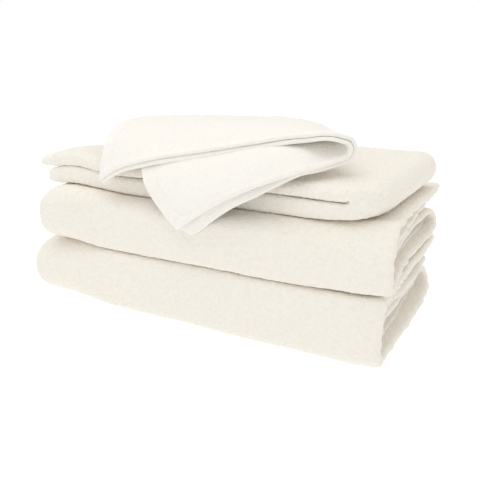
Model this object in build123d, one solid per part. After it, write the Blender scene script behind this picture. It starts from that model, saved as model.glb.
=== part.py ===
from build123d import *
import os

# Bath towel set: two bath towels, a hand towel and a washcloth, folded and stacked.
# Millimetres, +Z up. X runs along the stack, from the folds at the left to the open
# plies at the right, and Y from the front to the back. The origin is on the surface
# the stack stands on, under the middle of its box.

# Stack
LENGTH = 330.0            # folded length of the stack
FRONT = -84.0             # front fold of the bath towels
BACK = 92.0               # back edge of the bath towels
GAP = 0.4                 # air between one towel and the next

# Heights of the towels at the left end and at the right end, where the open plies spread
LOWER_BATH_TOP = (53.0, 59.0)
UPPER_BATH_TOP = (99.0, 106.5)
LOWER_LEAF_TOP = (114.6, 121.2)
TOP_LEAF_TOP = (130.0, 136.0)

# Bath towels
BATH_FRONT_ROUND = 21.0   # radius of the front fold
BATH_LEFT_ROUND = 20.0    # radius of the closed fold at the left
BATH_EDGE_ROUND = 5.0     # radius of the plies' edges at the back and the right
HEM_DEPTH = 16.0          # how far a turned end hem reaches in from the edge
HEM_THICK = 3.2           # a turned end hem, three layers of plain weave
HEM_INSET = 9.0           # plies between the outer face and the hem
HEM_SET_BACK = 2.0        # how far the hem ends behind the plies beside it
STITCH_WIDE = 1.0         # hem stitching
STITCH_THICK = 0.4
STITCH_CLEAR = 0.35       # between the washcloth's faceted leaf and its stitching

# Hand towel
HAND_LEFT = -162.0
HAND_RIGHT = 160.0
HAND_FRONT = -66.0
HAND_BACK = 70.0
HAND_ROUND = 6.5          # radius of each leaf's folded edges

# Washcloth
CLOTH_THICK = 5.0         # two plies of the washcloth
CLOTH_HEM = 9.0           # width of its turned hem


def between(pair, x):
    """The height at x, from the heights at the two ends of the stack."""
    share = (x + LENGTH / 2) / LENGTH
    return pair[0] + (pair[1] - pair[0]) * share


def block(x_left, x_right, bottom, top, y_front, y_back, left_round, right_round):
    """A slab whose height changes evenly along X, with its end edges rounded."""
    side = FilletPolyline(
        (x_left, y_front, between(bottom, x_left)),
        (x_right, y_front, between(bottom, x_right)),
        (x_right, y_front, between(top, x_right)),
        (x_left, y_front, between(top, x_left)),
        radius=[left_round, right_round, right_round, left_round],
        close=True,
    )
    return extrude(make_face(side), amount=y_back - y_front, dir=(0, 1, 0))


def across(x, y_front, y_back, z_bottom, z_top, front_round, back_round):
    """A face across X: a rectangle with its front and back corners rounded."""
    outline = FilletPolyline(
        (x, y_front, z_bottom),
        (x, y_back, z_bottom),
        (x, y_back, z_top),
        (x, y_front, z_top),
        radius=[front_round, back_round, back_round, front_round],
        close=True,
    )
    return make_face(outline)


def along_x(face, length):
    """A face across X, extruded to the right."""
    return extrude(face, amount=length, dir=(1, 0, 0))


def wrap_band(bottom, top, inset, thick, x_start, x_end):
    """A C-shaped band, open at the back, that follows a bath towel's front fold."""
    z_low, z_high = max(bottom) + inset, min(top) - inset
    y_end = BACK - BATH_EDGE_ROUND
    turn = min(BATH_FRONT_ROUND, 0.45 * (min(top) - max(bottom))) - inset
    outer = across(x_start, FRONT + inset, y_end, z_low, z_high, turn, 0)
    inner = across(
        x_start,
        FRONT + inset + thick,
        y_end + thick,
        z_low + thick,
        z_high - thick,
        turn - thick,
        0,
    )
    return along_x(outer - inner, x_end - x_start)


def bath_towel(bottom, top):
    """A bath towel's terry, its turned end hem among the plies, and the hem's stitching."""
    left, right = -LENGTH / 2, LENGTH / 2
    section = across(
        left, FRONT, BACK, min(bottom), max(top), BATH_FRONT_ROUND, BATH_EDGE_ROUND
    )
    slab = block(
        left, right, bottom, top, FRONT, BACK, BATH_LEFT_ROUND, BATH_EDGE_ROUND
    )
    hem_end = right - HEM_SET_BACK
    hem_start = hem_end - HEM_DEPTH
    hem = wrap_band(bottom, top, HEM_INSET, HEM_THICK, hem_start, hem_end)
    stitch_inset = HEM_INSET - STITCH_THICK
    stitch_start = hem_start + HEM_DEPTH / 4
    stitching = wrap_band(
        bottom,
        top,
        stitch_inset,
        STITCH_THICK,
        stitch_start,
        stitch_start + STITCH_WIDE,
    )
    pocket = wrap_band(
        bottom, top, stitch_inset, HEM_THICK + STITCH_THICK, hem_start, right
    )
    terry = (slab & along_x(section, LENGTH)) - pocket
    return terry, hem, stitching


def hand_leaf(bottom, top):
    """One half of the folded hand towel, with its end hem and stitching at the left."""
    section = across(
        HAND_LEFT,
        HAND_FRONT,
        HAND_BACK,
        min(bottom),
        max(top),
        HAND_ROUND,
        HAND_ROUND,
    )
    slab = block(
        HAND_LEFT,
        HAND_RIGHT,
        bottom,
        top,
        HAND_FRONT,
        HAND_BACK,
        HAND_ROUND,
        HAND_ROUND,
    )
    middle = (between(bottom, HAND_LEFT) + between(top, HAND_LEFT)) / 2
    width = HAND_BACK - HAND_FRONT - 4 * HAND_ROUND
    depth = (HAND_BACK + HAND_FRONT) / 2
    hem_middle = HAND_LEFT + HEM_DEPTH / 2
    hem = Pos(hem_middle, depth, middle) * Box(HEM_DEPTH, width, HEM_THICK)
    stitch_z = middle + (HEM_THICK + STITCH_THICK) / 2
    stitch_x = HAND_LEFT + HEM_DEPTH * 0.75
    stitching = Pos(stitch_x, depth, stitch_z) * Box(
        STITCH_WIDE, width, STITCH_THICK
    )
    terry = slab & along_x(section, HAND_RIGHT - HAND_LEFT)
    return terry - hem - stitching, hem, stitching


# The washcloth is folded in half, with both front hems at the front, and then bent
# back over itself at the right. Each leaf is a grid of points on its middle surface:
# rows run from the front hem to the back fold, columns from the free left end to the
# bend at the right.
TOP_LEAF = [
    [
        (-84, -77, 113.5), (-62, -79.5, 127), (-38, -79, 135), (10, -69, 145),
        (48, -59, 153), (84, -51, 160), (115, -45, 161.5),
    ],
    [
        (-84, -68, 138.5), (-66, -63, 147), (-47, -55, 150.5), (-2, -45, 157),
        (38, -36, 162), (72, -28, 163.5), (98, -21, 160.5),
    ],
    [
        (-98, -23, 153), (-77, -17, 157), (-55, -12, 158.5), (-10, -6, 160),
        (22, 0, 160.5), (50, 6, 162), (70, 12, 159.5),
    ],
    [
        (-97, 26, 151), (-77, 28, 152.5), (-56, 30, 153.5), (-20, 33, 155),
        (8, 36, 156), (30, 38, 157), (49, 39, 153.5),
    ],
    [
        (-95, 66, 142), (-76, 67, 143.5), (-56, 68, 144.5), (-24, 68, 147),
        (0, 66, 149), (18, 64, 149.5), (33, 60, 148),
    ],
]
LOWER_LEAF = [
    [
        (1, -88.5, 90), (28, -88.3, 110), (57, -83.5, 124.5),
        (87, -69.5, 137), (114, -45, 145.5),
    ],
    [
        (-17, -88, 104), (2, -87.5, 119.5), (32, -80, 133.5),
        (66, -62, 144.5), (98, -21, 150.8),
    ],
    [
        (-33, -84, 119), (-12, -79, 130.5), (20, -66, 140.5),
        (50, -42, 150), (84, -4, 150.5),
    ],
    [
        (-46, -68.5, 134), (-25, -59, 140.5), (5, -41, 148),
        (32, -16, 151.5), (67, 15, 149),
    ],
    [
        (-62, -38, 141), (-38, -24, 146), (-8, -6, 149),
        (18, 14, 149), (50, 38, 145.5),
    ],
    [
        (-82, 14, 140), (-60, 28, 141), (-30, 46, 141.5),
        (0, 56, 142), (33, 60, 141.5),
    ],
]


def unit(v):
    """The direction of v, one millimetre long."""
    return v / v.length


def grid_normal(points, r, c):
    """The direction square to the grid at one of its points."""
    ahead = points[min(r + 1, len(points) - 1)][c]
    right = points[r][min(c + 1, len(points[0]) - 1)]
    across_rows = ahead - points[max(r - 1, 0)][c]
    across_columns = right - points[r][max(c - 1, 0)]
    return unit(across_columns.cross(across_rows))


def offset_grid(rows, distance):
    """The grid of points moved square to itself."""
    points = [[Vector(*p) for p in row] for row in rows]
    return [
        [p + grid_normal(points, r, c) * distance for c, p in enumerate(row)]
        for r, row in enumerate(points)
    ]


def closed_slab(above, below):
    """A closed solid between two grids of points, in flat triangles."""
    last_row, last_column = len(above) - 1, len(above[0]) - 1
    triangles = []
    for r in range(last_row):
        for c in range(last_column):
            for grid, turn in ((above, 1), (below, -1)):
                a, b = grid[r][c], grid[r][c + 1]
                d, e = grid[r + 1][c + 1], grid[r + 1][c]
                triangles += [(a, b, d)[::turn], (a, d, e)[::turn]]
    rim = [(0, c) for c in range(last_column)]
    rim += [(r, last_column) for r in range(last_row)]
    rim += [(last_row, c) for c in range(last_column, 0, -1)]
    rim += [(r, 0) for r in range(last_row, 0, -1)]
    for (r1, c1), (r2, c2) in zip(rim, rim[1:] + rim[:1]):
        a, b = below[r1][c1], below[r2][c2]
        d, e = above[r2][c2], above[r1][c1]
        if a.X + a.Y < b.X + b.Y:  # both slabs beside a shared wall cut it one way
            triangles += [(a, b, d), (a, d, e)]
        else:
            triangles += [(a, b, e), (b, d, e)]
    faces = [Face(Wire.make_polygon(t, close=True)) for t in triangles]
    return Solid(Shell(faces))


def part_way(p, q, distance):
    """The point a distance from p towards q."""
    p, q = Vector(*p), Vector(*q)
    return tuple(p + unit(q - p) * distance)


def with_hem_lines(rows):
    """The grid with one more row and column, a hem's width in from the front and left."""
    wider = [[row[0], part_way(row[0], row[1], CLOTH_HEM)] + row[1:] for row in rows]
    second = [part_way(p, q, CLOTH_HEM) for p, q in zip(wider[0], wider[1])]
    return [wider[0], second] + wider[1:]


def washcloth_leaf(rows):
    """One leaf of the washcloth: its terry, its turned hem, and the hem's stitching."""
    grid = with_hem_lines(rows)
    above = offset_grid(grid, CLOTH_THICK / 2)
    below = offset_grid(grid, -CLOTH_THICK / 2)
    stitch_low = offset_grid(grid, CLOTH_THICK / 2 + STITCH_CLEAR)
    stitch_top = offset_grid(grid, CLOTH_THICK / 2 + STITCH_CLEAR + STITCH_THICK)

    def cut(grid, first_row, end_row, first_column, end_column):
        """Part of a grid: some of its rows, and some columns of each."""
        return [row[first_column:end_column] for row in grid[first_row:end_row]]

    terry = closed_slab(cut(above, 1, None, 1, None), cut(below, 1, None, 1, None))
    front_hem = closed_slab(cut(above, 0, 2, 0, None), cut(below, 0, 2, 0, None))
    side_hem = closed_slab(cut(above, 1, None, 0, 2), cut(below, 1, None, 0, 2))
    stitching = [
        thread_row(stitch_low[1][1:], stitch_top[1][1:]),
        thread_row(
            [row[1] for row in stitch_low[2:]], [row[1] for row in stitch_top[2:]]
        ),
    ]
    return terry, front_hem + side_hem, Compound(children=stitching)


def thread_row(low, high):
    """A thin strip of thread that stands on the line between two rows of points."""
    side = unit((low[-1] - low[0]).cross(high[0] - low[0])) * (STITCH_WIDE / 2)
    return closed_slab(
        [[p + side for p in high], [p - side for p in high]],
        [[p + side for p in low], [p - side for p in low]],
    )


def save(shape, name):
    """Write one piece to its own STEP file, under its node's name."""
    shape.label = name
    export_step(shape, os.path.join("parts", name + ".step"))


def lifted(heights):
    """The underside of the towel that lies on a towel whose top is at these heights."""
    return (heights[0] + GAP, heights[1] + GAP)


os.makedirs("parts", exist_ok=True)
SET = {
    "lower_bath_towel": bath_towel((0.0, 0.0), LOWER_BATH_TOP),
    "upper_bath_towel": bath_towel(lifted(LOWER_BATH_TOP), UPPER_BATH_TOP),
    "hand_towel_lower_leaf": hand_leaf(lifted(UPPER_BATH_TOP), LOWER_LEAF_TOP),
    "hand_towel_top_leaf": hand_leaf(lifted(LOWER_LEAF_TOP), TOP_LEAF_TOP),
    "washcloth_lower_leaf": washcloth_leaf(LOWER_LEAF),
    "washcloth_top_leaf": washcloth_leaf(TOP_LEAF),
}
for towel, pieces in SET.items():
    for ending, piece in zip(("", "_hem", "_stitching"), pieces):
        save(piece, towel + ending)
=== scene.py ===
"""Bath towel set: a folded stack of ivory cotton terry towels with a washcloth on top.

Each towel is one real sheet of cloth, folded along its own path, with turned hems and
sewn stitches. Lengths in the cloth code are millimetres and become metres in new_mesh().
"""

import math

import bpy
import numpy as np
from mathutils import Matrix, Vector


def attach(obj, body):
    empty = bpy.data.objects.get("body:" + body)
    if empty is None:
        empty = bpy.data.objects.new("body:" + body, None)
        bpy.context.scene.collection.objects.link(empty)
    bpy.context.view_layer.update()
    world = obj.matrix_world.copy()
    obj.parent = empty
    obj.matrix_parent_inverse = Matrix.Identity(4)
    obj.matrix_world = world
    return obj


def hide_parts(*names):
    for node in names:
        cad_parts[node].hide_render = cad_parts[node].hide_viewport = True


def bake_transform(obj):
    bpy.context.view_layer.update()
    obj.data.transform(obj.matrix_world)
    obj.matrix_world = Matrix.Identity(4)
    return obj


MM = 0.001

# Bottom and top of each bath towel at its left end, and at its right end.
LOWER_BATH = ((0.0, 53.0), (0.0, 59.0))
UPPER_BATH = ((53.4, 98.6), (59.4, 106.1))
LEFT_END = -165.0
RIGHT_END = 165.0
LENGTH = RIGHT_END - LEFT_END
FRONT = -84.0
BACK = 92.0
HAND_LEFT = -162.0
HAND_RIGHT = 160.0
HAND_FRONT = -66.0
HAND_BACK = 70.0

# The plane where the hand towel's two leaves meet: its height at the left end of the
# stack, and how much higher it is at the right end.
LEAF_PLANE = 114.8
LEAF_RISE = 6.5

# Cloth facts. BATH_PITCH is how far one wrap of a bath towel lies outside the next,
# before the pack is pressed to its height.
BATH_PLY = 2.7
BATH_PITCH = 14.0
HAND_PLY = 3.6
HAND_PITCH = 5.1
HAND_LEAF = 7.3
FACE_CLOTH_PLY = 2.2
BATH_HEM = 16.0
HAND_HEM = 15.0
FACE_CLOTH_HEM = 9.0
SIDE_HEM = 15.0
STITCH_LENGTH = 2.6
STITCH_PITCH = 3.4
THREAD_HALF_WIDE = 0.42
THREAD_HALF_HIGH = 0.26
CREASE = math.radians(65.0)

# Width of one band of a wave texture at scale 1.
WAVE_LENGTH = 0.314


# ---------------------------------------------------------------- small tools


def smooth(value, low, high):
    """0 below low, 1 above high, and a smooth ramp between them."""
    t = np.clip((value - low) / (high - low), 0.0, 1.0)
    return t * t * (3.0 - 2.0 * t)


def lumps(points, size, seed, waves=22):
    """A smooth random height from about -1 to 1, with bumps about size mm apart."""
    rng = np.random.default_rng(seed)
    total = np.zeros(points.shape[:-1])
    for _ in range(waves):
        way = rng.normal(size=3)
        way *= 2.0 * math.pi / (size * rng.uniform(0.75, 1.5)) / np.linalg.norm(way)
        total += np.cos(points @ way + rng.uniform(0.0, 2.0 * math.pi))
    return total * math.sqrt(2.0 / waves) * 0.6


def wander(along, size, seed):
    """A smooth random line from about -1 to 1 along one measure."""
    rng = np.random.default_rng(seed)
    total = np.zeros(np.shape(along))
    for _ in range(5):
        length = size * rng.uniform(0.6, 1.8)
        total += np.sin(2.0 * math.pi * np.asarray(along) / length + rng.uniform(0.0, 6.3))
    return total / 3.0


def run(start, end, step):
    """Places from start to end about step apart, without the last one."""
    count = max(1, int(round(abs(end - start) / step)))
    return np.linspace(start, end, count, endpoint=False)


def grid_normals(points):
    """The unit normal at each point of a grid of points."""
    down = np.gradient(points, axis=0)
    over = np.gradient(points, axis=1)
    normal = np.cross(over, down)
    length = np.linalg.norm(normal, axis=2, keepdims=True)
    return normal / np.maximum(length, 1e-9)


def new_mesh(name, points, faces):
    """A smooth-shaded object in the scene, from points in mm."""
    mesh = bpy.data.meshes.new(name)
    mesh.from_pydata((points * MM).tolist(), [], faces)
    mesh.validate()
    mesh.polygons.foreach_set("use_smooth", [True] * len(mesh.polygons))
    mesh.set_sharp_from_angle(angle=CREASE)
    mesh.update()
    piece = bpy.data.objects.new(name, mesh)
    bpy.context.scene.collection.objects.link(piece)
    return piece


def slab_faces(rows, columns, first=0):
    """Faces of a closed slab whose upper grid and lower grid follow each other."""
    index = np.arange(rows * columns).reshape(rows, columns) + first
    under = index + rows * columns
    a, b = index[:-1, :-1].ravel(), index[:-1, 1:].ravel()
    c, d = index[1:, 1:].ravel(), index[1:, :-1].ravel()
    upper = np.stack([a, b, c, d], 1)
    lower = np.stack([d, c, b, a], 1) + rows * columns
    rim = np.concatenate([index[0, :], index[1:, -1], index[-1, -2::-1], index[-2:0:-1, 0]])
    rim_under = np.concatenate([under[0, :], under[1:, -1], under[-1, -2::-1], under[-2:0:-1, 0]])
    ahead, ahead_under = np.roll(rim, -1), np.roll(rim_under, -1)
    wall = np.stack([rim, rim_under, ahead_under, ahead], 1)
    return np.concatenate([upper, lower, wall])


def slab(middle, normals, thick, pile, size, seed):
    """Points and faces of a cloth of this thickness, with its pile's lumps on both faces."""
    shape = middle.shape[:2]
    half = 0.5 * np.broadcast_to(thick, shape)[..., None]
    upper = middle + normals * half
    lower = middle - normals * half
    if pile > 0.0:
        keep = np.clip(half / np.max(half), 0.0, 1.0) ** 2
        for face, side in ((upper, 1.0), (lower, -1.0)):
            height = lumps(face, size, seed) + 0.3 * lumps(face, size * 2.7, seed + 1)
            face += side * pile * keep * height[..., None] * normals
    points = np.concatenate([upper.reshape(-1, 3), lower.reshape(-1, 3)])
    faces = slab_faces(*shape)
    a, b, c = points[faces[:, 0]], points[faces[:, 1]], points[faces[:, 2]]
    d = points[faces[:, 3]]
    volume = np.sum(a * np.cross(b, c)) + np.sum(a * np.cross(c, d))
    if volume < 0.0:
        faces = faces[:, ::-1]
    return points, faces


def join_slabs(name, slabs):
    """One object from several closed slabs."""
    points, faces, count = [], [], 0
    for some, quads in slabs:
        points.append(some)
        faces.append(quads + count)
        count += len(some)
    return new_mesh(name, np.concatenate(points), np.concatenate(faces).tolist())


def thinned(thick, rows=(), columns=()):
    """Thickness of a grid of cloth that thins towards its first and last rows or columns."""
    out = thick.copy()
    for k, share in enumerate(rows):
        out[k, :] *= share
        out[-1 - k, :] *= share
    for k, share in enumerate(columns):
        out[:, k] *= share
        out[:, -1 - k] *= share
    return out


def fold_curve(share, high_round, low_round):
    """A rounded C one unit high each way: how far out and how far up, at a share of it."""
    share, high_round, low_round = np.broadcast_arrays(share, high_round, low_round)
    ends = (1.0 - high_round, 1.0 - low_round)
    marks = np.cumsum(
        [
            ends[0],
            0.5 * math.pi * high_round,
            ends[0] + ends[1],
            0.5 * math.pi * low_round,
            ends[1],
        ],
        axis=0,
    )
    s = share * marks[-1]
    turn_high = np.clip((s - marks[0]) / high_round, 0.0, 0.5 * math.pi)
    turn_low = np.clip((s - marks[2]) / low_round, 0.0, 0.5 * math.pi)
    where = [s < marks[0], s < marks[1], s < marks[2], s < marks[3]]
    out = np.select(
        where,
        [s, ends[0] + high_round * np.sin(turn_high), 1.0, ends[1] + low_round * np.cos(turn_low)],
        marks[4] - s,
    )
    high_turn = ends[0] + high_round * np.cos(turn_high)
    low_turn = -ends[1] - low_round * np.sin(turn_low)
    up = np.select(where, [1.0, high_turn, ends[0] - (s - marks[1]), low_turn], -1.0)
    return out * (1.0 - 0.05 * up * up), up


# ---------------------------------------------------------------- the stack's own lie


def settle(points):
    """The soft unevenness of the whole stack, the same for every cloth in it."""
    x, y, z = points[..., 0], points[..., 1], points[..., 2]
    high = np.clip(z / 60.0, 0.0, 1.0)
    out = points.copy()
    # slow waves in depth and in height
    out[..., 1] += 0.9 * np.sin(x / 31.0 + z / 23.0 + 0.6) * high
    out[..., 1] += 0.7 * np.sin(x / 17.0 - z / 29.0 + 2.1)
    out[..., 2] += 0.8 * high * np.sin(x / 38.0 + 1.2) * np.cos(y / 46.0 + 0.4)
    # the upper towels rise at the right front corner
    corner = smooth(x, 100.0, 158.0) * (1.0 - smooth(y, -66.0, -25.0))
    out[..., 2] += 4.5 * corner * smooth(z, 75.0, 100.0) * (1.0 - smooth(z, 116.0, 138.0))
    # a swelling near the left end of the front, and a hollow beside it
    upper_front = smooth(z, 60.0, 85.0) * (1.0 - smooth(z, 100.0, 112.0))
    swell = np.exp(-(((x + 122.0) / 30.0) ** 2)) * (1.0 - smooth(y, -55.0, 10.0))
    out[..., 2] += 5.0 * swell * smooth(z, 70.0, 99.0)
    out[..., 1] -= 1.6 * swell * smooth(z, 58.0, 85.0) * (1.0 - smooth(z, 100.0, 112.0))
    hollow = np.exp(-(((x + 88.0) / 16.0) ** 2)) * (1.0 - smooth(y, -75.0, -40.0))
    out[..., 1] += 2.4 * hollow * upper_front
    return out


# ---------------------------------------------------------------- bath towels


class BathFold:
    """One bath towel folded in quarters both ways.

    The towel is first folded in four along its length into a strip (path A), and the
    strip is then folded in four, its last fold wrapping the whole front (path B).
    """

    def __init__(self, heights, rounds, open_top, left_in, seed):
        self.heights = heights
        self.rounds = rounds
        self.open_top = open_top
        self.left_in = left_in
        self.seed = seed
        self.pitch = BATH_PITCH
        self.ply = 0.25  # from one ply of the strip to the next, as a share of the pitch

    def strip_path(self):
        """Path A: places along the stack, ply numbers, and which hem zone each is in."""
        across = 1.5 * self.ply * self.pitch
        left = LEFT_END + across + 0.5 * BATH_PLY
        lip_turn = 0.68
        lip = RIGHT_END - lip_turn * self.ply * self.pitch - 0.5 * BATH_PLY - 1.0
        hem_a, hem_b = 148.0, 152.0
        x, n = [], []

        def level(places, number):
            x.extend(places)
            n.extend([number] * len(places))

        def turn(centre, radius, start, end, count, middle):
            for k in range(count):
                angle = math.radians(start + (end - start) * (k + 0.5) / count)
                x.append(centre + radius * self.ply * self.pitch * math.cos(angle))
                n.append(middle + radius * math.sin(angle))

        level([hem_a, hem_a - 0.5, hem_a - 1.4], -1.5)
        level(run(hem_a - 2.8, hem_a - BATH_HEM, 2.6), -1.5)
        level([hem_a - BATH_HEM], -1.5)
        self.end_a = len(x) - 1
        level(run(hem_a - BATH_HEM - 3.0, 100.0, 6.0), -1.5)
        level(run(100.0, left, 22.0), -1.5)
        turn(left, 1.5, 270.0, 90.0, 12, 0.0)
        level(run(left, lip, 2.15), 1.5)
        turn(lip, lip_turn, 90.0, -90.0, 9, 1.5 - lip_turn)
        for place in run(lip, 130.0, 3.0):
            x.append(place)
            n.append(0.5 - 0.36 * float(smooth(place, 134.0, 156.0)))
        level(run(130.0, left, 24.0), 0.5)
        turn(left, 0.5, 90.0, 270.0, 6, 0.0)
        level(run(left, 100.0, 24.0), -0.5)
        level(run(100.0, hem_b - BATH_HEM, 6.0), -0.5)
        level([hem_b - BATH_HEM], -0.5)
        self.end_b = len(x) - 1
        level(run(hem_b - BATH_HEM + 2.6, hem_b - 2.0, 2.6), -0.5)
        level([hem_b - 1.4, hem_b - 0.5, hem_b], -0.5)
        return np.array(x), np.array(n)

    def front_path(self):
        """Path B: flat rows at a depth, and turned rows at a share of a fold."""
        front = FRONT + 2.0 * self.pitch
        back = BACK - self.pitch
        rows = []

        def flat(depths, level, way):
            rows.extend(("flat", y, level, way) for y in depths)

        def fold(centre, level, radius, side, way, shares):
            rows.extend(("fold", centre, level, radius, side, way, share) for share in shares)

        flat([back + 6.0, back + 5.4, back + 4.2], 1.5, 1.0)
        flat(run(back + 2.0, front + 44.0, 6.5), 1.5, 1.0)
        flat(run(front + 44.0, front, 2.6), 1.5, 1.0)
        fold(front, 0.0, 1.5, -1.0, 1.0, (np.arange(44) + 0.5) / 44)
        flat(run(front, front + 30.0, 4.0), -1.5, -1.0)
        flat(run(front + 30.0, back, 9.0), -1.5, -1.0)
        self.outer_rows = len(rows)
        fold(back, -1.0, 0.5, 1.0, 1.0, 1.0 - (np.arange(10) + 0.5) / 10)
        flat(run(back, front, 9.0), -0.5, 1.0)
        fold(front, 0.0, 0.5, -1.0, -1.0, 1.0 - (np.arange(8) + 0.5) / 8)
        flat(run(front, back, 9.0), 0.5, -1.0)
        flat([back + 1.0, back + 2.2, back + 2.8], 0.5, -1.0)
        return rows

    def middle(self):
        """The towel's middle surface, as a grid of points."""
        x, ply = self.strip_path()
        rows = self.front_path()
        q = self.pitch
        offset = ply * self.ply * (1.0 - 0.14 * smooth(x, 60.0, 165.0))
        grid = np.zeros((len(rows), len(x), 3))
        walked = 0.0
        measured = 150  # the column along which the cloth's length is walked
        at_left = 1.0 - smooth(x, -150.0, -70.0)
        at_right = smooth(x, 40.0, 160.0)
        left_round = 0.95 - 0.4 * self.open_top
        high_round = self.rounds[0] + (left_round - self.rounds[0]) * at_left
        high_round = high_round + (0.95 - high_round) * self.open_top * at_right
        low_round = self.rounds[1] + (0.8 - self.rounds[1]) * at_left
        for k, row in enumerate(rows):
            grid[k, :, 0] = x
            if row[0] == "flat":
                _, depth, level, way = row
                grid[k, :, 1] = depth
                grid[k, :, 2] = level + offset * way
            else:
                _, centre, level, radius, side, way, share = row
                reach = radius + offset * way
                roundness = (high_round, low_round) if radius > 1.0 else (1.0, 1.0)
                out, up = fold_curve(share, *roundness)
                grid[k, :, 1] = centre + side * q * reach * out
                grid[k, :, 2] = level + reach * up
            if k:
                # the depth step is in mm and the level step in plies' pitches
                step = grid[k, measured] - grid[k - 1, measured]
                walked += math.hypot(step[1], q * step[2])
            inner = float(smooth(k, self.outer_rows, self.outer_rows + 12))
            self.uneven_end(grid[k], x, ply, walked, inner)
        return self.place(grid)

    def uneven_end(self, row, x, ply, walked, inner):
        """The right end's plies don't quite line up, and the inner wraps end 7 mm short."""
        near = smooth(x, 85.0, 162.0)
        group = np.where(ply > 0.0, 0.0, 40.0)
        shift = 3.2 * wander(walked + group, 230.0, self.seed)
        shift = shift - 2.6 + 0.5 * wander(walked + group, 60.0, self.seed + 5)
        shift = shift + 0.7 * wander(walked, 15.0, self.seed + 9)
        row[:, 0] += near * shift
        row[:, 0] -= 7.0 * inner * near

    def place(self, grid):
        """Give the flat pack its real heights, its round left end and its soft corners."""
        x, y, level = grid[..., 0], grid[..., 1], grid[..., 2] / 2.0
        (low_left, high_left), (low_right, high_right) = self.heights
        side = (x - LEFT_END) / LENGTH
        low = low_left + (low_right - low_left) * side
        high = high_left + (high_right - high_left) * side
        tall = 0.5 * (high - low)
        near = 1.0 - smooth(x, LEFT_END + 4.0, LEFT_END + 85.0)
        level_in = np.clip(np.abs(level), 0.0, 1.0)
        pull = 19.0 * (1.0 - (1.0 - level_in ** 2.4) ** (1.0 / 2.4))
        out = grid.copy()
        out[..., 0] = x + near * (pull + self.left_in)
        out[..., 2] = 0.5 * (low + high) + level * (tall - 0.1)
        at_right = smooth(x, 50.0, 162.0)
        over = smooth(level, -0.4, 1.0)
        forward = 1.0 - smooth(y, -78.0, -20.0)
        out[..., 1] += self.open_top * 11.0 * at_right * over * forward
        corner = smooth(x, 138.0, 168.0) * (1.0 - smooth(y, -84.0, -50.0))
        out[..., 1] += 5.0 * corner
        return out


def bath_towel(name, heights, rounds, open_top, left_in, seed):
    """One bath towel: its terry sheet, its two turned hems and their stitches."""
    fold = BathFold(heights, rounds, open_top, left_in, seed)
    middle = settle(fold.middle())
    normals = grid_normals(middle)
    a, b = fold.end_a, fold.end_b
    edge = thinned(np.full(middle.shape[:2], BATH_PLY), rows=(0.3, 0.75, 0.95))
    hem_edge = thinned(edge * 1.08, columns=(0.35, 0.8))
    inside = slice(a - 1, b + 2)
    terry = slab(middle[:, inside], normals[:, inside], edge[:, inside], 0.24, 3.6, seed)
    cloth = join_slabs(name + "_cloth", [terry])
    hems = []
    for part in (slice(0, a + 1), slice(b, None)):
        hems.append(slab(middle[:, part], normals[:, part], hem_edge[:, part], 0.0, 4.0, seed))
    hem = join_slabs(name + "_turned_hems", hems)
    lines = [(middle[:, k], normals[:, k], BATH_PLY * 0.54) for k in (a - 1, b + 1)]
    thread = stitches(name + "_hem_thread", lines)
    for piece in (cloth, hem, thread):
        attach(piece, name)
    finish_piece(cloth, TERRY, "towel_terry", name)
    finish_piece(hem, HEM_CLOTH, "plain_woven_hem", name + "_hem")
    finish_piece(thread, THREAD, "sewing_thread", name + "_stitching")


# ---------------------------------------------------------------- hand towel


def leaf_plane(x):
    """The height of the plane between the hand towel's leaves, at x."""
    return LEAF_PLANE + LEAF_RISE * (x - LEFT_END) / LENGTH


def hand_rows(front, back):
    """The fold in thirds: flat rows at a depth and a ply, and turned rows at a share."""
    rows = [("flat", HAND_BACK - d, 1.0) for d in (1.5, 2.1, 3.4)]
    rows += [("flat", depth, 1.0) for depth in run(HAND_BACK - 6.0, front + 50.0, 6.0)]
    rows += [("flat", depth, 1.0) for depth in run(front + 50.0, front, 2.6)]
    rows += [("front", (k + 0.5) / 18, 0.0) for k in range(18)]
    rows += [("flat", depth, -1.0) for depth in run(front, back, 8.0)]
    rows += [("back", 1.0 - (k + 0.5) / 8, 0.0) for k in range(8)]
    rows += [("flat", depth, 0.0) for depth in run(back, front + 4.0, 8.0)]
    rows += [("flat", front + d, 0.0) for d in (3.0, 1.7, 1.0)]
    return rows


def hand_columns(low_end, top_end):
    """The fold in half: each column's place, its leaf's side, and the way it reaches out."""
    turn = HAND_RIGHT - HAND_LEAF - HAND_PITCH - 0.5 * HAND_PLY
    low, top = (-1.0, (0.0, -1.0)), (1.0, (0.0, 1.0))
    columns = [(low_end + d, *low) for d in (0.0, 0.5, 1.4)]
    columns += [(x, *low) for x in run(low_end + 2.8, low_end + HAND_HEM, 1.6)]
    columns.append((low_end + HAND_HEM, *low))
    first = len(columns) - 1
    columns += [(x, *low) for x in run(low_end + HAND_HEM + 2.2, turn, 2.8)]
    seam = len(columns) - 1
    for k in range(16):
        angle = math.radians(-90.0 + 180.0 * (k + 0.5) / 16)
        columns.append((turn, 0.0, (math.cos(angle), math.sin(angle))))
    columns += [(x, *top) for x in run(turn, top_end + HAND_HEM, 2.4)]
    columns.append((top_end + HAND_HEM, *top))
    last = len(columns) - 1
    columns += [(x, *top) for x in run(top_end + HAND_HEM - 1.6, top_end + 2.0, 1.6)]
    columns += [(top_end + d, *top) for d in (1.4, 0.5, 0.0)]
    return columns, first, seam, last


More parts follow.
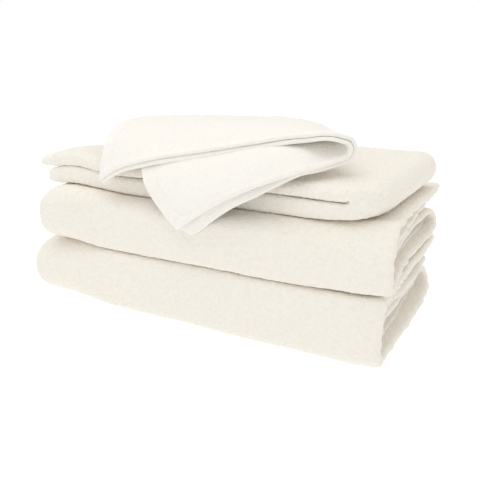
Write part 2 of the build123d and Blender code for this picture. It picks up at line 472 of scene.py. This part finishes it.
def hand_point(column, row, ends, turns):
    """One point of the folded hand towel, before it settles."""
    x, side, reach = column
    kind, depth, n = row
    pinch, deeper = 1.0, 0.0
    if side != 0.0:
        t = min(1.0, max(0.0, (x - ends[side > 0.0]) / 8.5))
        pinch = 0.4 + 0.6 * math.sqrt(1.0 - (1.0 - t) ** 2)
    if side < 0.0:
        deeper = 1.0 - float(smooth(x, 60.0, 140.0))
    if kind == "front":
        outer_round = 0.98 if side > 0.0 else 0.35
        seam_round = 0.3 - 0.26 * float(smooth(x, 10.0, 100.0))
        out, up = fold_curve(depth, outer_round, seam_round)
        depth, n = turns[0] - HAND_PITCH * float(out), float(up)
    elif kind == "back":
        out, up = fold_curve(depth, 1.0, 1.0)
        depth, n = turns[1] + 0.5 * HAND_PITCH * float(out), -0.5 + 0.5 * float(up)
    out = (HAND_PITCH + 0.6 * deeper) * n * pinch
    radius = HAND_LEAF if side == 0.0 else 0.0
    level = side * (HAND_LEAF + 0.7 * deeper) + (radius + out) * reach[1]
    return x + (radius + out) * reach[0], depth, level


def hand_middle(rows, columns, ends, turns):
    """The hand towel's middle surface, as a grid of points."""
    grid = np.array([[hand_point(column, row, ends, turns) for column in columns] for row in rows])
    # the left end wanders a little and runs back at a slant
    walked = np.arange(len(rows))[:, None] + np.zeros(len(columns))
    near = 1.0 - smooth(grid[..., 0], HAND_LEFT, HAND_LEFT + 50.0)
    grid[..., 0] += near * 1.2 * wander(walked, 40.0, 71)
    slack = 48.0 * smooth(grid[..., 1], -66.0, -4.0) ** 0.8
    grid[..., 0] += slack * (1.0 - smooth(grid[..., 0], HAND_LEFT, -30.0))
    # the right end slants, with a round front corner
    at_right = smooth(grid[..., 0], 30.0, 160.0)
    corner = np.clip((HAND_FRONT + 18.0 - grid[..., 1]) / 18.0, 0.0, 1.0)
    slant = 10.0 * (HAND_BACK - grid[..., 1]) / (HAND_BACK - HAND_FRONT)
    grid[..., 0] -= at_right * (slant + 20.0 * (1.0 - np.sqrt(1.0 - corner ** 2)))
    # the top leaf droops towards its front
    over = smooth(grid[..., 2], -2.0, 10.0)
    grid[..., 2] += leaf_plane(grid[..., 0])
    front_drop = 1.0 - smooth(grid[..., 1], HAND_FRONT, HAND_FRONT + 34.0)
    grid[..., 2] -= 2.6 * front_drop * over
    middle = settle(grid)
    # the leaves meet at one plane, so that they part cleanly when the towel opens
    plane = leaf_plane(middle[..., 0])
    clear = 0.5 * HAND_PLY + 0.55
    sides = np.array([side for _, side, _ in columns])
    over_plane = np.maximum(middle[..., 2], plane + clear)
    room = 12.0 * (1.0 - smooth(middle[..., 0], 60.0, 110.0))
    under_plane = np.minimum(middle[..., 2], plane - clear + room)
    leaf = np.where(sides < 0.0, under_plane, middle[..., 2])
    middle[..., 2] = np.where(sides > 0.0, over_plane, leaf)
    return middle


def hand_towel():
    """The hand towel: folded in thirds, then in half with its fold at the right."""
    front = HAND_FRONT + HAND_PITCH + 0.5 * HAND_PLY
    back = HAND_BACK - 0.5 * HAND_PITCH - 0.5 * HAND_PLY - 1.0
    ends = (HAND_LEFT + 8.0, HAND_LEFT)
    rows = hand_rows(front, back)
    columns, first, seam, last = hand_columns(*ends)
    middle = hand_middle(rows, columns, ends, (front, back))
    normals = grid_normals(middle)
    edge = thinned(np.full(middle.shape[:2], HAND_PLY), rows=(0.3, 0.75, 0.95))
    hem_edge = thinned(edge * (2.5 / HAND_PLY), columns=(0.35, 0.8))

    leaves, hems, threads = {}, {}, {}
    for name, inside in (("lower", slice(first - 1, seam + 1)), ("upper", slice(seam, last + 2))):
        terry = slab(middle[:, inside], normals[:, inside], edge[:, inside], 0.26, 3.6, 31)
        leaves[name] = join_slabs(f"hand_towel_{name}_cloth", [terry])
    for name, part in (("lower", slice(0, first + 1)), ("upper", slice(last, None))):
        band = slab(middle[:, part], normals[:, part], hem_edge[:, part], 0.0, 4.0, 3)
        hems[name] = join_slabs(f"hand_towel_{name}_hem", [band])
    for name, k in (("lower", first - 1), ("upper", last + 1)):
        line = [(middle[:, k], normals[:, k], HAND_PLY * 0.52)]
        threads[name] = stitches(f"hand_towel_{name}_hem_thread", line)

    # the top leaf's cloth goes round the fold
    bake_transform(leaves["upper"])
    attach(leaves["lower"], "hand_towel")
    for name, body, node, rest in (
        ("lower", "hand_towel", "hand_towel_lower_leaf", "upper_bath_towel_cloth"),
        ("upper", "hand_towel_top", "hand_towel_top_leaf", "hand_towel_lower_cloth"),
    ):
        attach(hems[name], body)
        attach(threads[name], body)
        finish_piece(leaves[name], TERRY, "towel_terry", node)
        finish_piece(hems[name], HEM_CLOTH, "plain_woven_hem", node + "_hem")
        finish_piece(threads[name], THREAD, "sewing_thread", node + "_stitching")


# ---------------------------------------------------------------- washcloth

# The washcloth's middle surface, from its front hem back to its fold, and from its left
# edge to the bend at the right.
TOP_SHAPE = (
    (
        (-84, -77, 113.5), (-62, -79.5, 127), (-38, -79, 135), (10, -69, 145), (48, -59, 153),
        (84, -51, 160.5), (115, -45, 162.5),
    ),
    (
        (-84, -68, 138.5), (-66, -63, 147), (-47, -55, 150.5), (-2, -45, 157), (38, -36, 162),
        (72, -28, 163.5), (98, -21, 160.5),
    ),
    (
        (-98, -23, 153), (-77, -17, 157), (-55, -12, 158.5), (-10, -6, 160), (22, 0, 160.5),
        (50, 6, 162), (70, 12, 159.5),
    ),
    (
        (-97, 26, 151), (-77, 28, 152.5), (-56, 30, 153.5), (-20, 33, 155), (8, 36, 156),
        (30, 38, 157), (49, 39, 153.5),
    ),
    (
        (-95, 66, 142), (-76, 67, 143.5), (-56, 68, 144.5), (-24, 68, 147), (0, 66, 149),
        (18, 64, 149.5), (33, 60, 148),
    ),
)
LOWER_SHAPE = (
    (
        (1, -88.5, 90), (28, -88.3, 110), (57, -83.5, 124.5), (87, -69.5, 137),
        (114, -45, 145.5),
    ),
    (
        (-17, -88, 104), (2, -87.5, 119.5), (32, -79, 135), (66, -59, 150.5), (98, -21, 156.5),
    ),
    (
        (-33, -84, 119), (-12, -78, 131.5), (20, -64, 143.5), (50, -42, 154), (84, -4, 154.5),
    ),
    (
        (-46, -68.5, 134), (-25, -58, 142.5), (5, -41, 150.5), (32, -16, 154), (67, 15, 149.5),
    ),
    (
        (-62, -38, 141), (-38, -24, 147), (-8, -6, 151), (18, 14, 151), (50, 38, 145.5),
    ),
    (
        (-82, 14, 140), (-60, 28, 141), (-30, 46, 141.5), (0, 56, 142), (33, 60, 141.5),
    ),
)


def through(points, knots, places):
    """A smooth curve, or a row of curves, through points at knots, read at places."""
    slopes = np.zeros_like(points)
    step = np.diff(knots).reshape((-1,) + (1,) * (points.ndim - 1))
    rise = np.diff(points, axis=0) / step
    slopes[1:-1] = (rise[:-1] * step[1:] + rise[1:] * step[:-1]) / (step[:-1] + step[1:])
    slopes[0] = 1.5 * rise[0] - 0.5 * slopes[1]
    slopes[-1] = 1.5 * rise[-1] - 0.5 * slopes[-2]
    at = np.clip(np.searchsorted(knots, places, side="right") - 1, 0, len(knots) - 2)
    wide = knots[at + 1] - knots[at]
    t = (places - knots[at]) / wide
    shape = (-1,) + (1,) * (points.ndim - 1)
    t, wide = t.reshape(shape), wide.reshape(shape)
    inside = np.clip(t, 0.0, 1.0)
    t2, t3 = inside * inside, inside ** 3
    value = (2 * t3 - 3 * t2 + 1) * points[at] + (t3 - 2 * t2 + inside) * wide * slopes[at]
    value = value + (3 * t2 - 2 * t3) * points[at + 1] + (t3 - t2) * wide * slopes[at + 1]
    before = (t - inside) * wide * np.where(t < 0.0, slopes[at], slopes[at + 1])
    return value + before


def mean_knots(points):
    """Knots from the mean distance between neighbouring lines of points."""
    steps = np.linalg.norm(np.diff(points, axis=0), axis=-1)
    if steps.ndim > 1:
        steps = steps.mean(axis=tuple(range(1, steps.ndim)))
    return np.concatenate([[0.0], np.cumsum(steps)])


# The washcloth's bend: a point on its line, the line's direction, and the way up from it.
BEND_ALONG = np.array([-0.639, 0.767, -0.065])
BEND_UP = np.array([-0.244, -0.188, 0.951])


class WashclothFold:
    """The washcloth: folded in half, and bent back over itself at the right."""

    def __init__(self):
        top = np.array(TOP_SHAPE, float)
        low = np.array(LOWER_SHAPE, float)
        self.deep = 150.0
        depth = np.linspace(0.0, 1.0, 13)
        top_rows = through(top, self.share(top[:, -1]), depth)
        low_rows = through(low, self.share(low[:, -1]), depth)
        outward = np.array([0.79, 0.61, 0.0])
        centre = 0.5 * (top_rows[:, -1] + low_rows[:, -1])
        half = 0.5 * (top_rows[:, -1] - low_rows[:, -1])
        size = np.linalg.norm(half, axis=1)[:, None]
        bends = []
        for angle in (-52.0, 0.0, 52.0):
            turn = math.radians(angle)
            bends.append(centre + half * math.sin(turn) + size * math.cos(turn) * outward)
        lines = [low_rows[:, k] for k in range(low_rows.shape[1])]
        lines += bends
        lines += [top_rows[:, k] for k in range(top_rows.shape[1] - 1, -1, -1)]
        self.lines = np.stack(lines)
        self.knots = mean_knots(self.lines)
        self.depth = depth
        self.low_end = self.knots[low_rows.shape[1] - 1]
        self.bend_end = self.knots[low_rows.shape[1] + 3]
        self.end = self.knots[-1]

    @staticmethod
    def share(line):
        """Distances along a line of points as shares of its length."""
        knots = mean_knots(line)
        return knots / knots[-1]

    def surface(self, along, deep):
        """Points at each depth (rows) and each place along the strip (columns)."""
        cross = through(self.lines, self.knots, along)
        return through(np.swapaxes(cross, 0, 1), self.depth, deep)


def washcloth_grid(fold):
    """Where the cloth is drawn: places along the strip, and depths from the front hem."""
    hem = SIDE_HEM
    along = np.concatenate(
        [
            [0.0, 0.5, 1.4],
            run(2.8, hem, 2.4),
            [hem],
            run(hem + 1.9, fold.low_end - 24.0, 2.2),
            run(fold.low_end - 24.0, fold.low_end, 2.0),
            run(fold.low_end, fold.bend_end, 1.3),
            run(fold.bend_end, fold.end - hem, 2.2),
            [fold.end - hem],
            fold.end - run(hem - 2.4, 2.0, 2.4),
            [fold.end - 1.4, fold.end - 0.5, fold.end],
        ]
    )
    front = [0.0, 0.45, 1.2, 2.4, 4.0, 5.8, 7.4, FACE_CLOTH_HEM]
    middle = run(FACE_CLOTH_HEM + 1.6, 60.0, 2.4)
    back = run(60.0, fold.deep, 4.0)
    deep = np.concatenate([front, middle, back, [fold.deep]])
    return along, deep, len(front) - 1


def washcloth_middle(fold, along, deep, at_edge):
    """The washcloth's middle surface: its upper ply, the fold at the back, its lower ply."""
    strip = fold.surface(along, deep / fold.deep)
    strip_up = grid_normals(strip)
    reach = np.gradient(strip, axis=0)
    reach = reach / np.linalg.norm(reach, axis=2, keepdims=True)
    half = (0.5 * FACE_CLOTH_PLY + 0.12 + 0.5 * at_edge)[:, None]
    fade = (1.0 - smooth(deep, 0.0, 60.0))[:, None]

    # the lower leaf's plies part at the front, and the under one reaches further out
    in_low = along < fold.low_end
    share = np.clip(along / fold.low_end, 0.0, 1.0)
    closing = np.sqrt(1.0 - (1.0 - np.clip(along / 9.0, 0.0, 1.0)) ** 2)
    open_part = np.where(in_low, closing * smooth(1.0 - share, 0.3, 0.72), 0.0)
    lift = open_part[None, :] * (1.0 - smooth(deep, 0.0, 34.0))[:, None]
    long_part = np.where(in_low, (0.7 + 0.3 * closing) * smooth(1.0 - share, 0.2, 0.85), 0.0)
    longer = 12.0 * long_part[None, :] * fade

    # the top leaf's upper ply reaches a little further than the one under it
    on_top = smooth(along, fold.bend_end, fold.bend_end + 40.0)[None, :] * fade
    ply_a = strip + strip_up * (half + 4.2 * lift)[..., None] - reach * (2.2 * on_top)[..., None]
    ply_b = strip - strip_up * (half + 0.3 * lift)[..., None] - reach * longer[..., None]

    turn = []
    for k in range(7):
        angle = math.radians(90.0 - 180.0 * (k + 0.5) / 7)
        outward = math.sin(angle) * strip_up[-1] + math.cos(angle) * reach[-1]
        turn.append(strip[-1] + half[-1] * outward)
    return settle(np.concatenate([ply_a, np.stack(turn), ply_b[::-1]]))


def washcloth():
    """Both leaves of the washcloth, their hems and their stitches."""
    fold = WashclothFold()
    along, deep, front = washcloth_grid(fold)
    at_edge = 1.0 - smooth(deep, 4.0, 8.5)
    middle = washcloth_middle(fold, along, deep, at_edge)
    normals = grid_normals(middle)
    rows, columns = middle.shape[:2]
    side = int(np.argmin(np.abs(along - SIDE_HEM)))
    other = int(np.argmin(np.abs(along - (fold.end - SIDE_HEM))))
    seam = int(np.argmin(np.abs(along - (fold.low_end - 4.0))))

    def part(r0, r1, c0, c1, thick, pile, seed):
        piece = slice(r0, r1), slice(c0, c1)
        return slab(middle[piece], normals[piece], thick[piece], pile, 3.2, seed)

    # the terry, and the thicker rolled hems round it
    terry = np.full((rows, columns), FACE_CLOTH_PLY)
    edge_rows = np.zeros(rows)
    edge_rows[: len(deep)] = at_edge
    edge_rows[rows - len(deep) :] = at_edge[::-1]
    band = np.full((rows, columns), FACE_CLOTH_PLY + 0.15) + 0.95 * edge_rows[:, None]
    shares = (0.3, 0.7, 0.92)
    band = thinned(band, rows=shares, columns=shares)
    leaves = {"lower": (side - 1, seam + 1), "upper": (seam, other + 2)}
    long_hems = {"lower": (side, seam + 1), "upper": (seam, other + 1)}
    end_hems = {"lower": (0, side + 1), "upper": (other, columns)}
    end_lines = {"lower": side - 1, "upper": other + 1}
    cloths = {
        leaf: join_slabs(
            f"washcloth_{leaf}_cloth",
            [part(front - 1, rows - front + 1, c0, c1, terry, 0.16, 47)],
        )
        for leaf, (c0, c1) in leaves.items()
    }

    along_bend = BEND_ALONG / np.linalg.norm(BEND_ALONG)
    up = BEND_UP - along_bend * (BEND_UP @ along_bend)
    up = up / np.linalg.norm(up)
    over = 0.5 * FACE_CLOTH_PLY + 0.12
    for leaf, node in (("lower", "washcloth_lower_leaf"), ("upper", "washcloth_top_leaf")):
        c0, c1 = long_hems[leaf]
        strips = [
            part(0, rows, *end_hems[leaf], band, 0.0, 1),
            part(0, front + 1, c0, c1, band, 0.0, 1),
            part(rows - front - 1, rows, c0, c1, band, 0.0, 1),
        ]
        spots = [
            (front - 1, slice(c0, c1)),
            (rows - front, slice(c0, c1)),
            (slice(front, rows - front), end_lines[leaf]),
        ]
        cloth = cloths[leaf]
        hems = join_slabs(f"washcloth_{leaf}_hem", strips)
        lines = [(middle[spot], normals[spot], over) for spot in spots]
        thread = stitches(f"washcloth_{leaf}_hem_thread", lines)
        finish_piece(cloth, FACE_CLOTH, "washcloth_terry", node)
        finish_piece(hems, FACE_HEM, "plain_woven_hem", node + "_hem")
        finish_piece(thread, THREAD, "sewing_thread", node + "_stitching")
        for piece in (cloth, hems, thread):
            if leaf == "lower":
                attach(piece, "washcloth")
            else:
                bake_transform(piece)


# ---------------------------------------------------------------- stitches


def one_stitch():
    """One lockstitch: a short fat thread, pinched at its ends."""
    bpy.ops.object.select_all(action="DESELECT")
    bpy.ops.mesh.primitive_uv_sphere_add(segments=6, ring_count=4, radius=1.0)
    piece = bpy.context.object
    mesh = piece.data
    points = np.array([v.co[:] for v in mesh.vertices])
    faces = [tuple(p.vertices) for p in mesh.polygons]
    bpy.data.objects.remove(piece)
    return points, faces


def stitches(name, lines):
    """Rows of stitches along lines of points, on both faces of the cloth."""
    shape, faces = one_stitch()
    all_points, all_faces = [], []
    base = 0
    for line, normal, lift in lines:
        steps = np.linalg.norm(np.diff(line, axis=0), axis=1)
        walked = np.concatenate([[0.0], np.cumsum(steps)])
        count = int(walked[-1] / STITCH_PITCH)
        for k in range(count):
            at = (k + 0.5) * STITCH_PITCH
            spot = np.array([np.interp(at, walked, line[:, c]) for c in range(3)])
            ahead = np.array([np.interp(at + 1.0, walked, line[:, c]) for c in range(3)])
            up = np.array([np.interp(at, walked, normal[:, c]) for c in range(3)])
            up /= max(1e-6, np.linalg.norm(up))
            along = ahead - spot
            along -= up * (along @ up)
            along /= max(1e-6, np.linalg.norm(along))
            side = np.cross(up, along)
            for face in (1.0, -1.0):
                placed = (
                    spot
                    + face * lift * up
                    + shape[:, :1] * THREAD_HALF_WIDE * side
                    + shape[:, 1:2] * THREAD_HALF_HIGH * up
                    + shape[:, 2:3] * 0.5 * STITCH_LENGTH * along
                )
                all_points.append(placed)
                all_faces.extend(tuple(v + base for v in f) for f in faces)
                base += len(shape)
    piece = new_mesh(name, np.concatenate(all_points), all_faces)
    bpy.ops.object.select_all(action="DESELECT")
    piece.select_set(True)
    bpy.context.view_layer.objects.active = piece
    bpy.ops.object.mode_set(mode="EDIT")
    bpy.ops.mesh.select_all(action="SELECT")
    bpy.ops.mesh.normals_make_consistent(inside=False)
    bpy.ops.object.mode_set(mode="OBJECT")
    piece.select_set(False)
    return piece


# ---------------------------------------------------------------- finishes


def linear(code):
    """A linear colour from an sRGB hex code."""
    parts = [int(code[k : k + 2], 16) / 255.0 for k in (1, 3, 5)]
    return tuple(
        c / 12.92 if c <= 0.04045 else ((c + 0.055) / 1.055) ** 2.4 for c in parts
    ) + (1.0,)


def add_node(tree, kind, settings=None, links=None):
    """Add a node with its settings, and link other nodes' sockets to its inputs."""
    node = tree.nodes.new(kind)
    for key, value in (settings or {}).items():
        if hasattr(node, key):
            setattr(node, key, value)
        else:
            node.inputs[key].default_value = value
    for key, source in (links or {}).items():
        tree.links.new(source, node.inputs[key])
    return node


def start_material(name, roughness):
    """A new material, its node tree and its shader."""
    material = bpy.data.materials.new(name)
    material.use_nodes = True
    tree = material.node_tree
    shader = tree.nodes["Principled BSDF"]
    shader.inputs["Roughness"].default_value = roughness
    return material, tree, shader


def mottle(tree, shader, factor, dark, light, stops):
    """Colour the cloth between two close shades, as a factor runs between two stops."""
    ramp = add_node(tree, "ShaderNodeValToRGB", None, {"Fac": factor})
    for element, stop, code in zip(ramp.color_ramp.elements, stops, (dark, light)):
        element.position = stop
        element.color = linear(code)
    tree.links.new(ramp.outputs["Color"], shader.inputs["Base Color"])


def threads_wave(tree, place, pitch_mm, distortion, direction):
    """A wave texture with one band for every two threads."""
    return add_node(
        tree,
        "ShaderNodeTexWave",
        {
            "Scale": WAVE_LENGTH / (2.0 * pitch_mm * MM),
            "Distortion": distortion,
            "bands_direction": direction,
        },
        {"Vector": place.outputs["Object"]},
    )


def cotton_terry(name, light, dark, loop_mm, height_mm, sheen):
    """Cotton terry: a pile of soft uncut loops, so it is matt, mottled and edge-bright."""
    material, tree, shader = start_material(name, 0.95)
    shader.inputs["Specular IOR Level"].default_value = 0.12
    shader.inputs["Sheen Weight"].default_value = sheen
    shader.inputs["Sheen Roughness"].default_value = 0.6
    shader.inputs["Sheen Tint"].default_value = linear("#FFF9EE")
    place = add_node(tree, "ShaderNodeTexCoord")
    loops = add_node(
        tree,
        "ShaderNodeTexVoronoi",
        {"Scale": 1.0 / (loop_mm * MM), "Randomness": 1.0},
        {"Vector": place.outputs["Object"]},
    )
    clumps = add_node(
        tree,
        "ShaderNodeTexNoise",
        {"Scale": 1.0 / (loop_mm * 1.5 * MM), "Detail": 3.0, "Roughness": 0.6},
        {"Vector": place.outputs["Object"]},
    )
    height = add_node(
        tree,
        "ShaderNodeMath",
        {"operation": "SUBTRACT"},
        {0: clumps.outputs["Fac"], 1: loops.outputs["Distance"]},
    )
    bump = add_node(
        tree,
        "ShaderNodeBump",
        {"Strength": 0.6, "Distance": height_mm * MM},
        {"Height": height.outputs["Value"]},
    )
    mottle(tree, shader, clumps.outputs["Fac"], dark, light, (0.32, 0.62))
    tree.links.new(bump.outputs["Normal"], shader.inputs["Normal"])
    return material


def plain_weave(name, light, dark, thread_mm):
    """Plain woven cotton hem: flat crossing threads, smoother and a little warmer."""
    material, tree, shader = start_material(name, 0.85)
    shader.inputs["Specular IOR Level"].default_value = 0.2
    place = add_node(tree, "ShaderNodeTexCoord")
    warp = threads_wave(tree, place, thread_mm, 1.5, "X")
    weft = threads_wave(tree, place, thread_mm, 1.5, "Z")
    height = add_node(
        tree,
        "ShaderNodeMath",
        {"operation": "ADD"},
        {0: warp.outputs["Fac"], 1: weft.outputs["Fac"]},
    )
    bump = add_node(
        tree,
        "ShaderNodeBump",
        {"Strength": 0.35, "Distance": 0.15 * MM},
        {"Height": height.outputs["Value"]},
    )
    noise = add_node(
        tree,
        "ShaderNodeTexNoise",
        {"Scale": 220.0, "Detail": 2.0},
        {"Vector": place.outputs["Object"]},
    )
    mottle(tree, shader, noise.outputs["Fac"], dark, light, (0.3, 0.7))
    tree.links.new(bump.outputs["Normal"], shader.inputs["Normal"])
    return material


def spun_thread(name, light, dark, twist_mm):
    """Spun cotton sewing thread: a fine twist and a slight lustre."""
    material, tree, shader = start_material(name, 0.6)
    place = add_node(tree, "ShaderNodeTexCoord")
    twist = threads_wave(tree, place, twist_mm, 2.0, "DIAGONAL")
    mottle(tree, shader, twist.outputs["Fac"], dark, light, (0.0, 1.0))
    return material


def finish_piece(piece, material, slot, *nodes):
    """Give a piece its material, and let it stand for its CAD nodes."""
    piece.data.materials.clear()
    piece.data.materials.append(material)
    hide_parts(*nodes)


# ---------------------------------------------------------------- studio


def camera():
    """The camera, at the height and turn of a catalogue view."""
    data = bpy.data.cameras.new("camera")
    data.lens = 48.75
    data.sensor_width = 36.0
    data.clip_end = 20.0
    eye = bpy.data.objects.new("camera", data)
    eye.location = (0.2637, -0.4883, 0.2515)
    turn, drop = math.radians(27.78), math.radians(19.8)
    look = Vector(
        (-math.sin(turn) * math.cos(drop), math.cos(turn) * math.cos(drop), -math.sin(drop))
    )
    eye.rotation_euler = look.to_track_quat("-Z", "Y").to_euler()
    bpy.context.scene.collection.objects.link(eye)
    bpy.context.scene.camera = eye


def area_light(name, place, target, size, power, colour):
    """A soft square light aimed at a point."""
    data = bpy.data.lights.new(name, "AREA")
    data.size = size
    data.energy = power
    data.color = linear(colour)[:3]
    light = bpy.data.objects.new(name, data)
    light.location = place
    way = Vector(target) - Vector(place)
    light.rotation_euler = way.to_track_quat("-Z", "Y").to_euler()
    bpy.context.scene.collection.objects.link(light)


def studio():
    """A white room: pale floor, white surroundings, one large soft light from the left."""
    scene = bpy.context.scene
    scene.view_settings.view_transform = "Standard"
    scene.view_settings.exposure = 0.0
    world = bpy.data.worlds.new("white_room")
    scene.world = world
    world.use_nodes = True
    tree = world.node_tree
    room = tree.nodes["Background"]
    room.inputs["Color"].default_value = linear("#FFFEFC")
    room.inputs["Strength"].default_value = 0.76
    wall = add_node(tree, "ShaderNodeBackground", {"Color": linear("#FFFFFF"), "Strength": 1.0})
    ray = add_node(tree, "ShaderNodeLightPath")
    both = add_node(
        tree,
        "ShaderNodeMixShader",
        None,
        {0: ray.outputs["Is Camera Ray"], 1: room.outputs[0], 2: wall.outputs[0]},
    )
    tree.links.new(both.outputs[0], tree.nodes["World Output"].inputs["Surface"])
    area_light("window", (-0.25, -0.2, 1.5), (0.0, 0.0, 0.08), 1.4, 7.4, "#FFFEFC")
    bpy.ops.object.select_all(action="DESELECT")
    bpy.ops.mesh.primitive_plane_add(size=8.0, location=(0.0, 0.0, 0.0))
    floor = bpy.context.object
    floor.name = "floor"
    white = bpy.data.materials.new("matt_white_paper")
    white.use_nodes = True
    shader = white.node_tree.nodes["Principled BSDF"]
    shader.inputs["Base Color"].default_value = linear("#A8A8A8")
    shader.inputs["Roughness"].default_value = 1.0
    shader.inputs["Specular IOR Level"].default_value = 0.0
    shader.inputs["Emission Color"].default_value = linear("#FFFFFF")
    shader.inputs["Emission Strength"].default_value = 0.72
    floor.data.materials.append(white)
    floor.location.z = -0.0006


# ---------------------------------------------------------------- make the scene

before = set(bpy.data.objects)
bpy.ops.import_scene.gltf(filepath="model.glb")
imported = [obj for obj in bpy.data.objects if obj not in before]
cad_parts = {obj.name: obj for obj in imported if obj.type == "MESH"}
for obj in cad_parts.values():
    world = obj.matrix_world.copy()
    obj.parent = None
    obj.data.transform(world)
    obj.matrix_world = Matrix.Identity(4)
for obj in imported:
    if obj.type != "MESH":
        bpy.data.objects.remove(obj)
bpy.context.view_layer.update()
bpy.ops.object.select_all(action="DESELECT")

TERRY = cotton_terry("ivory_cotton_terry", "#FAF6EE", "#F6F0E5", 1.9, 0.7, 0.25)
FACE_CLOTH = cotton_terry("ivory_fine_terry", "#FCFAF6", "#FAF6EF", 1.4, 0.45, 0.25)
HEM_CLOTH = plain_weave("ivory_plain_weave", "#FAF7F0", "#F8F3EA", 0.7)
FACE_HEM = plain_weave("ivory_fine_weave", "#FCFAF6", "#F9F5EE", 0.6)
THREAD = spun_thread("ivory_cotton_thread", "#FBF8F2", "#F5EFE4", 0.5)

camera()
studio()
bath_towel("lower_bath_towel", LOWER_BATH, (0.09, 0.36), 0.0, 0.0, 11)
bath_towel("upper_bath_towel", UPPER_BATH, (0.42, 0.09), 1.0, 12.0, 23)
hand_towel()
washcloth()
